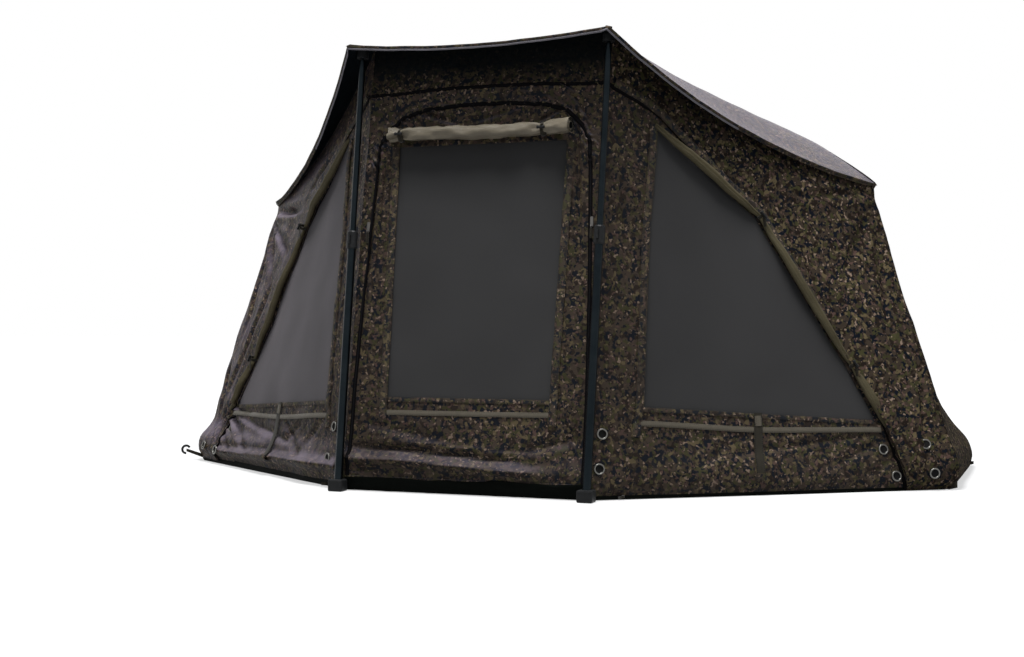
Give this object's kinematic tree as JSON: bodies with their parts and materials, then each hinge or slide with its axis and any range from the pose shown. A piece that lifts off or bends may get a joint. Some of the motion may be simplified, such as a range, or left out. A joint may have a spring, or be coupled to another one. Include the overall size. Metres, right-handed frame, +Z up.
{
  "type": "fishing brolly shelter",
  "caption": "Angler's umbrella shelter: tilted ribbed canopy to the ground, zipped front with a mesh door and side windows, held up by telescopic storm poles.",
  "frame": {"origin": "on the ground, at the middle of the shelter's footprint", "axes": "+Z up, +Y towards the back of the shelter, +X to the right of someone who looks at its front"},
  "size_m": [2.652, 2.041, 1.4566],
  "materials": {
    "camo_fabric": "coated woven fabric in a small blotch camouflage print",
    "roof_fabric": "coated woven fabric in the same print, with a slight sheen",
    "cover_fabric": "plain olive coated fabric, matt",
    "window_mesh": "dark grey insect mesh",
    "webbing": "dark olive woven webbing",
    "pole_alloy": "dark blue-black anodised",
    "black_plastic": "black moulded nylon",
    "rib_rod": "black pultruded glass-fibre rod",
    "steel": "plated spring steel",
    "zip_metal": "dull bronze"
  },
  "bodies": {
    "hub": {"hub_boss": "black_plastic", "hub_cap": "black_plastic", "rib_ring": "steel", "centre_tube": "pole_alloy", "tube_end_plug": "black_plastic"},
    "runner": {"runner": "black_plastic"},
    "runner_button": {"runner_button": "steel"},
    "rib_front_right": {"rib_front_right": "rib_rod", "roof_front_right": "roof_fabric", "peak_socket_right": "black_plastic", "brow_right": "camo_fabric"},
    "rib_side_right": {"rib_side_right": "rib_rod", "roof_side_right": "roof_fabric"},
    "rib_rear_right": {"rib_rear_right": "rib_rod", "roof_rear_right": "roof_fabric"},
    "rib_rear_left": {"rib_rear_left": "rib_rod", "roof_rear_left": "roof_fabric"},
    "rib_side_left": {"rib_side_left": "rib_rod", "roof_side_left": "roof_fabric"},
    "rib_front_left": {"rib_front_left": "rib_rod", "roof_front_left": "roof_fabric", "peak_socket_left": "black_plastic", "brow_left": "camo_fabric"},
    "strut_front_right": {"strut_front_right": "pole_alloy"},
    "strut_side_right": {"strut_side_right": "pole_alloy"},
    "strut_rear_right": {"strut_rear_right": "pole_alloy"},
    "strut_rear_left": {"strut_rear_left": "pole_alloy"},
    "strut_side_left": {"strut_side_left": "pole_alloy"},
    "strut_front_left": {"strut_front_left": "pole_alloy"},
    "wall_side_right": {"wall_side_right": "camo_fabric"},
    "wall_rear_right": {"wall_rear_right": "camo_fabric"},
    "wall_side_left": {"wall_side_left": "camo_fabric"},
    "wall_rear_left": {"wall_rear_left": "camo_fabric"},
    "front": {"infill_centre": "camo_fabric", "infill_right": "camo_fabric", "window_mesh_right": "window_mesh", "window_cover_right": "cover_fabric", "strap_right": "webbing", "pole_lower_right": "pole_alloy", "pole_foot_right": "black_plastic", "infill_left": "camo_fabric", "window_mesh_left": "window_mesh", "window_cover_left": "cover_fabric", "strap_left": "webbing", "pole_lower_left": "pole_alloy", "pole_foot_left": "black_plastic"},
    "pole_upper_right": {"pole_upper_right": "pole_alloy"},
    "pole_collar_right": {"pole_collar_right": "black_plastic"},
    "pole_upper_left": {"pole_upper_left": "pole_alloy"},
    "pole_collar_left": {"pole_collar_left": "black_plastic"},
    "door": {"door_panel": "camo_fabric", "door_mesh": "window_mesh", "door_cover_roll": "cover_fabric"},
    "zip_slider_right": {"zip_slider_right": "zip_metal"},
    "zip_slider_left": {"zip_slider_left": "zip_metal"}
  },
  "joints": [
    {"name": "frame_fold", "type": "hinge", "parent": "hub", "child": "rib_front_right", "pos_m": [0.01378, 0.31087, 1.43693], "axis": [0.9239, 0.3294, -0.1948], "range_deg": [0, 54], "deforming": ["roof_front_right", "brow_right"]},
    {"name": "rib_side_right_fold", "type": "hinge", "parent": "hub", "child": "rib_side_right", "pos_m": [0.03543, 0.33401, 1.42325], "axis": [0.1771, 0.8471, -0.501], "range_deg": [0, 54], "deforming": ["roof_side_right"]},
    {"name": "rib_rear_right_fold", "type": "hinge", "parent": "hub", "child": "rib_rear_right", "pos_m": [0.01982, 0.36537, 1.4047], "axis": [-0.8348, 0.4738, -0.2802], "range_deg": [0, 54], "deforming": ["roof_rear_right"]},
    {"name": "rib_rear_left_fold", "type": "hinge", "parent": "hub", "child": "rib_rear_left", "pos_m": [-0.01982, 0.36537, 1.4047], "axis": [-0.8348, -0.4738, 0.2802], "range_deg": [0, 54], "deforming": ["roof_rear_left"]},
    {"name": "rib_side_left_fold", "type": "hinge", "parent": "hub", "child": "rib_side_left", "pos_m": [-0.03543, 0.33401, 1.42325], "axis": [0.1771, -0.8471, 0.501], "range_deg": [0, 54], "deforming": ["roof_side_left"]},
    {"name": "rib_front_left_fold", "type": "hinge", "parent": "hub", "child": "rib_front_left", "pos_m": [-0.01378, 0.31087, 1.43693], "axis": [0.9239, -0.3294, 0.1948], "range_deg": [0, 54], "deforming": ["roof_front_left", "brow_left"]},
    {"name": "strut_front_right_fold", "type": "hinge", "parent": "rib_front_right", "child": "strut_front_right", "pos_m": [0.09739, 0.06538, 1.41837], "axis": [0.9239, 0.3294, -0.1948], "range_deg": [-98.99, 0]},
    {"name": "strut_side_right_fold", "type": "hinge", "parent": "rib_side_right", "child": "strut_side_right", "pos_m": [0.25047, 0.22897, 1.32163], "axis": [0.1771, 0.8471, -0.501], "range_deg": [-98.99, 0]},
    {"name": "strut_rear_right_fold", "type": "hinge", "parent": "rib_rear_right", "child": "strut_rear_right", "pos_m": [0.14009, 0.45063, 1.19054], "axis": [-0.8348, 0.4738, -0.2802], "range_deg": [-98.99, 0]},
    {"name": "strut_rear_left_fold", "type": "hinge", "parent": "rib_rear_left", "child": "strut_rear_left", "pos_m": [-0.14009, 0.45063, 1.19054], "axis": [-0.8348, -0.4738, 0.2802], "range_deg": [-98.99, 0]},
    {"name": "strut_side_left_fold", "type": "hinge", "parent": "rib_side_left", "child": "strut_side_left", "pos_m": [-0.25047, 0.22897, 1.32163], "axis": [0.1771, -0.8471, 0.501], "range_deg": [-98.99, 0]},
    {"name": "strut_front_left_fold", "type": "hinge", "parent": "rib_front_left", "child": "strut_front_left", "pos_m": [-0.09739, 0.06538, 1.41837], "axis": [0.9239, -0.3294, 0.1948], "range_deg": [-98.99, 0]},
    {"name": "runner_slide", "type": "slide", "parent": "hub", "child": "runner", "axis": [0, -0.509, -0.8607], "range_m": [0, 0.2238]},
    {"name": "runner_button_press", "type": "slide", "parent": "runner", "child": "runner_button", "axis": [0, 0.8607, -0.509], "range_m": [0, 0.003], "stiffness_N_per_m": 400},
    {"name": "wall_side_right_fold", "type": "hinge", "parent": "rib_side_right", "child": "wall_side_right", "pos_m": [1.07766, -0.17214, 0.93578], "axis": [0.1771, 0.8471, -0.501], "range_deg": [0, 130.1], "deforming": ["wall_side_right"]},
    {"name": "wall_rear_right_fold", "type": "hinge", "parent": "rib_rear_right", "child": "wall_rear_right", "pos_m": [0.60276, 0.78159, 0.37175], "axis": [-0.8348, 0.4738, -0.2802], "range_deg": [0, 176.1], "deforming": ["wall_rear_right"]},
    {"name": "wall_side_left_fold", "type": "hinge", "parent": "rib_side_left", "child": "wall_side_left", "pos_m": [-1.07766, -0.17214, 0.93578], "axis": [0.1771, -0.8471, 0.501], "range_deg": [0, 130.1], "deforming": ["wall_side_left"]},
    {"name": "wall_rear_left_fold", "type": "hinge", "parent": "rib_rear_left", "child": "wall_rear_left", "pos_m": [-0.60276, 0.78159, 0.37175], "axis": [-0.8348, -0.4738, 0.2802], "range_deg": [0, 176.1], "deforming": ["wall_rear_left"]},
    {"name": "front_release", "type": "slide", "parent": "hub", "child": "front", "axis": [0, -1, 0], "range_m": [0, 0.651]},
    {"name": "pole_right_shorten", "type": "slide", "parent": "front", "child": "pole_upper_right", "axis": [-0.0061, -0.1382, -0.9904], "range_m": [0, 0.45]},
    {"name": "pole_collar_right_twist", "type": "hinge", "parent": "front", "child": "pole_collar_right", "pos_m": [0.39764, -0.89363, 0.75863], "axis": [0.0061, 0.1382, 0.9904], "range_deg": [0, 90]},
    {"name": "pole_left_shorten", "type": "slide", "parent": "front", "child": "pole_upper_left", "axis": [0.0061, -0.1382, -0.9904], "range_m": [0, 0.45]},
    {"name": "pole_collar_left_twist", "type": "hinge", "parent": "front", "child": "pole_collar_left", "pos_m": [-0.39764, -0.89363, 0.75863], "axis": [-0.0061, 0.1382, 0.9904], "range_deg": [0, 90]},
    {"name": "door_open", "type": "hinge", "parent": "front", "child": "door", "pos_m": [0, -0.96681, 0.04505], "axis": [1, 0, 0], "range_deg": [0, 92]},
    {"name": "zip_slider_right_slide", "type": "slide", "parent": "front", "child": "zip_slider_right", "axis": [0.042, -0.1519, -0.9875], "range_m": [-0.17, 0.5]},
    {"name": "zip_slider_left_slide", "type": "slide", "parent": "front", "child": "zip_slider_left", "axis": [-0.042, -0.1519, -0.9875], "range_m": [-0.17, 0.5]}
  ],
  "couplings": [
    {"joint": "rib_side_right_fold", "follows": "frame_fold", "ratio": 1},
    {"joint": "rib_rear_right_fold", "follows": "frame_fold", "ratio": 1},
    {"joint": "rib_rear_left_fold", "follows": "frame_fold", "ratio": 1},
    {"joint": "rib_side_left_fold", "follows": "frame_fold", "ratio": 1},
    {"joint": "rib_front_left_fold", "follows": "frame_fold", "ratio": 1},
    {"joint": "strut_front_right_fold", "follows": "frame_fold", "ratio": -1.8323},
    {"joint": "strut_side_right_fold", "follows": "frame_fold", "ratio": -1.8323},
    {"joint": "strut_rear_right_fold", "follows": "frame_fold", "ratio": -1.8323},
    {"joint": "strut_rear_left_fold", "follows": "frame_fold", "ratio": -1.8323},
    {"joint": "strut_side_left_fold", "follows": "frame_fold", "ratio": -1.8323},
    {"joint": "strut_front_left_fold", "follows": "frame_fold", "ratio": -1.8323},
    {"joint": "runner_slide", "follows": "frame_fold", "m_per_rad": 0.23689},
    {"joint": "wall_side_right_fold", "follows": "frame_fold", "ratio": 2.4074},
    {"joint": "wall_rear_right_fold", "follows": "frame_fold", "ratio": 3.2593},
    {"joint": "wall_side_left_fold", "follows": "frame_fold", "ratio": 2.4074},
    {"joint": "wall_rear_left_fold", "follows": "frame_fold", "ratio": 3.2593},
    {"joint": "front_release", "follows": "frame_fold", "m_per_rad": 0.68967}
  ]
}
